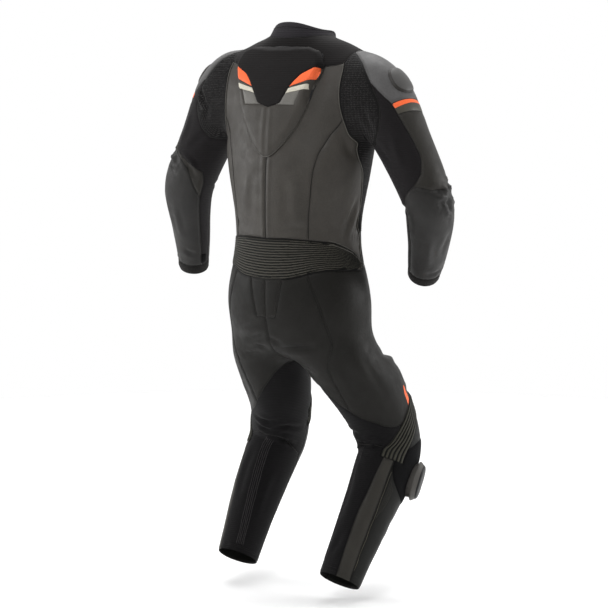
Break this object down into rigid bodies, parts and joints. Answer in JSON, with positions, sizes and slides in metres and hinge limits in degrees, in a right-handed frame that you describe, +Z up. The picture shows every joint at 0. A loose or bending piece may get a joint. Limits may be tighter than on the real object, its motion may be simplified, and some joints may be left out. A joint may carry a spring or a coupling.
{
  "type": "one-piece motorcycle race suit",
  "caption": "One-piece leather race suit, filled out and empty, with a back hump, ribbed waist panel, stretch side panels, accordion knees, knee sliders and shoulder cups.",
  "frame": {"origin": "middle of the neck base, where the wearer's shoulders hold the suit", "axes": "+Z up, the front faces -Y, the wearer's left is +X"},
  "size_m": [0.8833, 0.3624, 1.359],
  "materials": {
    "leather": "semi-matt full grain",
    "leather_grey": "semi-matt full grain",
    "leather_orange": "semi-matt full grain",
    "leather_cream": "semi-matt full grain",
    "leather_silver": "semi-matt full grain",
    "stretch": "matt ribbed stretch weave",
    "zip_cloth": "matt woven tape",
    "hook_tape": "matt looped tape",
    "slider_plastic": "moulded, satin",
    "cup_plastic": "moulded, satin",
    "hump_foam": "foam",
    "metal": "dark satin"
  },
  "bodies": {
    "suit": {"back_l": "leather", "back_r": "leather", "side_back_l": "leather", "side_back_r": "leather", "gusset_l": "stretch", "gusset_r": "stretch", "front_l": "leather", "front_r": "leather", "seat_l": "leather", "seat_r": "leather", "thigh_l": "leather", "thigh_r": "leather", "thigh_stretch_l": "stretch", "thigh_stretch_r": "stretch", "calf_l": "stretch", "calf_r": "stretch", "strip_l": "leather_grey", "strip_r": "leather_grey", "shin_l": "leather", "shin_r": "leather", "knee_l": "stretch", "knee_r": "stretch", "cap_l": "leather_grey", "cap_r": "leather_grey", "arm_band_l": "leather_orange", "arm_band_r": "leather_orange", "sleeve_l": "leather", "sleeve_r": "leather", "sleeve_stretch_l": "stretch", "sleeve_stretch_r": "stretch", "forearm_l": "leather", "forearm_r": "leather", "cuff_l": "stretch", "cuff_r": "stretch", "knee_grip_l": "hook_tape", "knee_grip_r": "hook_tape", "knee_slider_l": "slider_plastic", "knee_slider_r": "slider_plastic", "shoulder_cup_l": "cup_plastic", "shoulder_cup_r": "cup_plastic", "hump_orange_l": "leather_orange", "hump_orange_r": "leather_orange", "hump_white_l": "leather_cream", "hump_white_r": "leather_cream", "hump_grey_l": "leather_silver", "hump_grey_r": "leather_silver", "collar": "stretch", "yoke": "stretch", "belt": "stretch", "zip_tape": "zip_cloth", "patch": "leather", "hump_core": "hump_foam", "hump_shell": "leather", "hump_insert": "stretch", "zip_slider": "metal"},
    "pull": {"zip_pull": "metal"}
  },
  "joints": [
    {"name": "pull_swing", "type": "hinge", "parent": "suit", "child": "pull", "pos_m": [0, -0.09477, -0.01], "axis": [1, 0, 0], "range_deg": [-150, 0]}
  ]
}
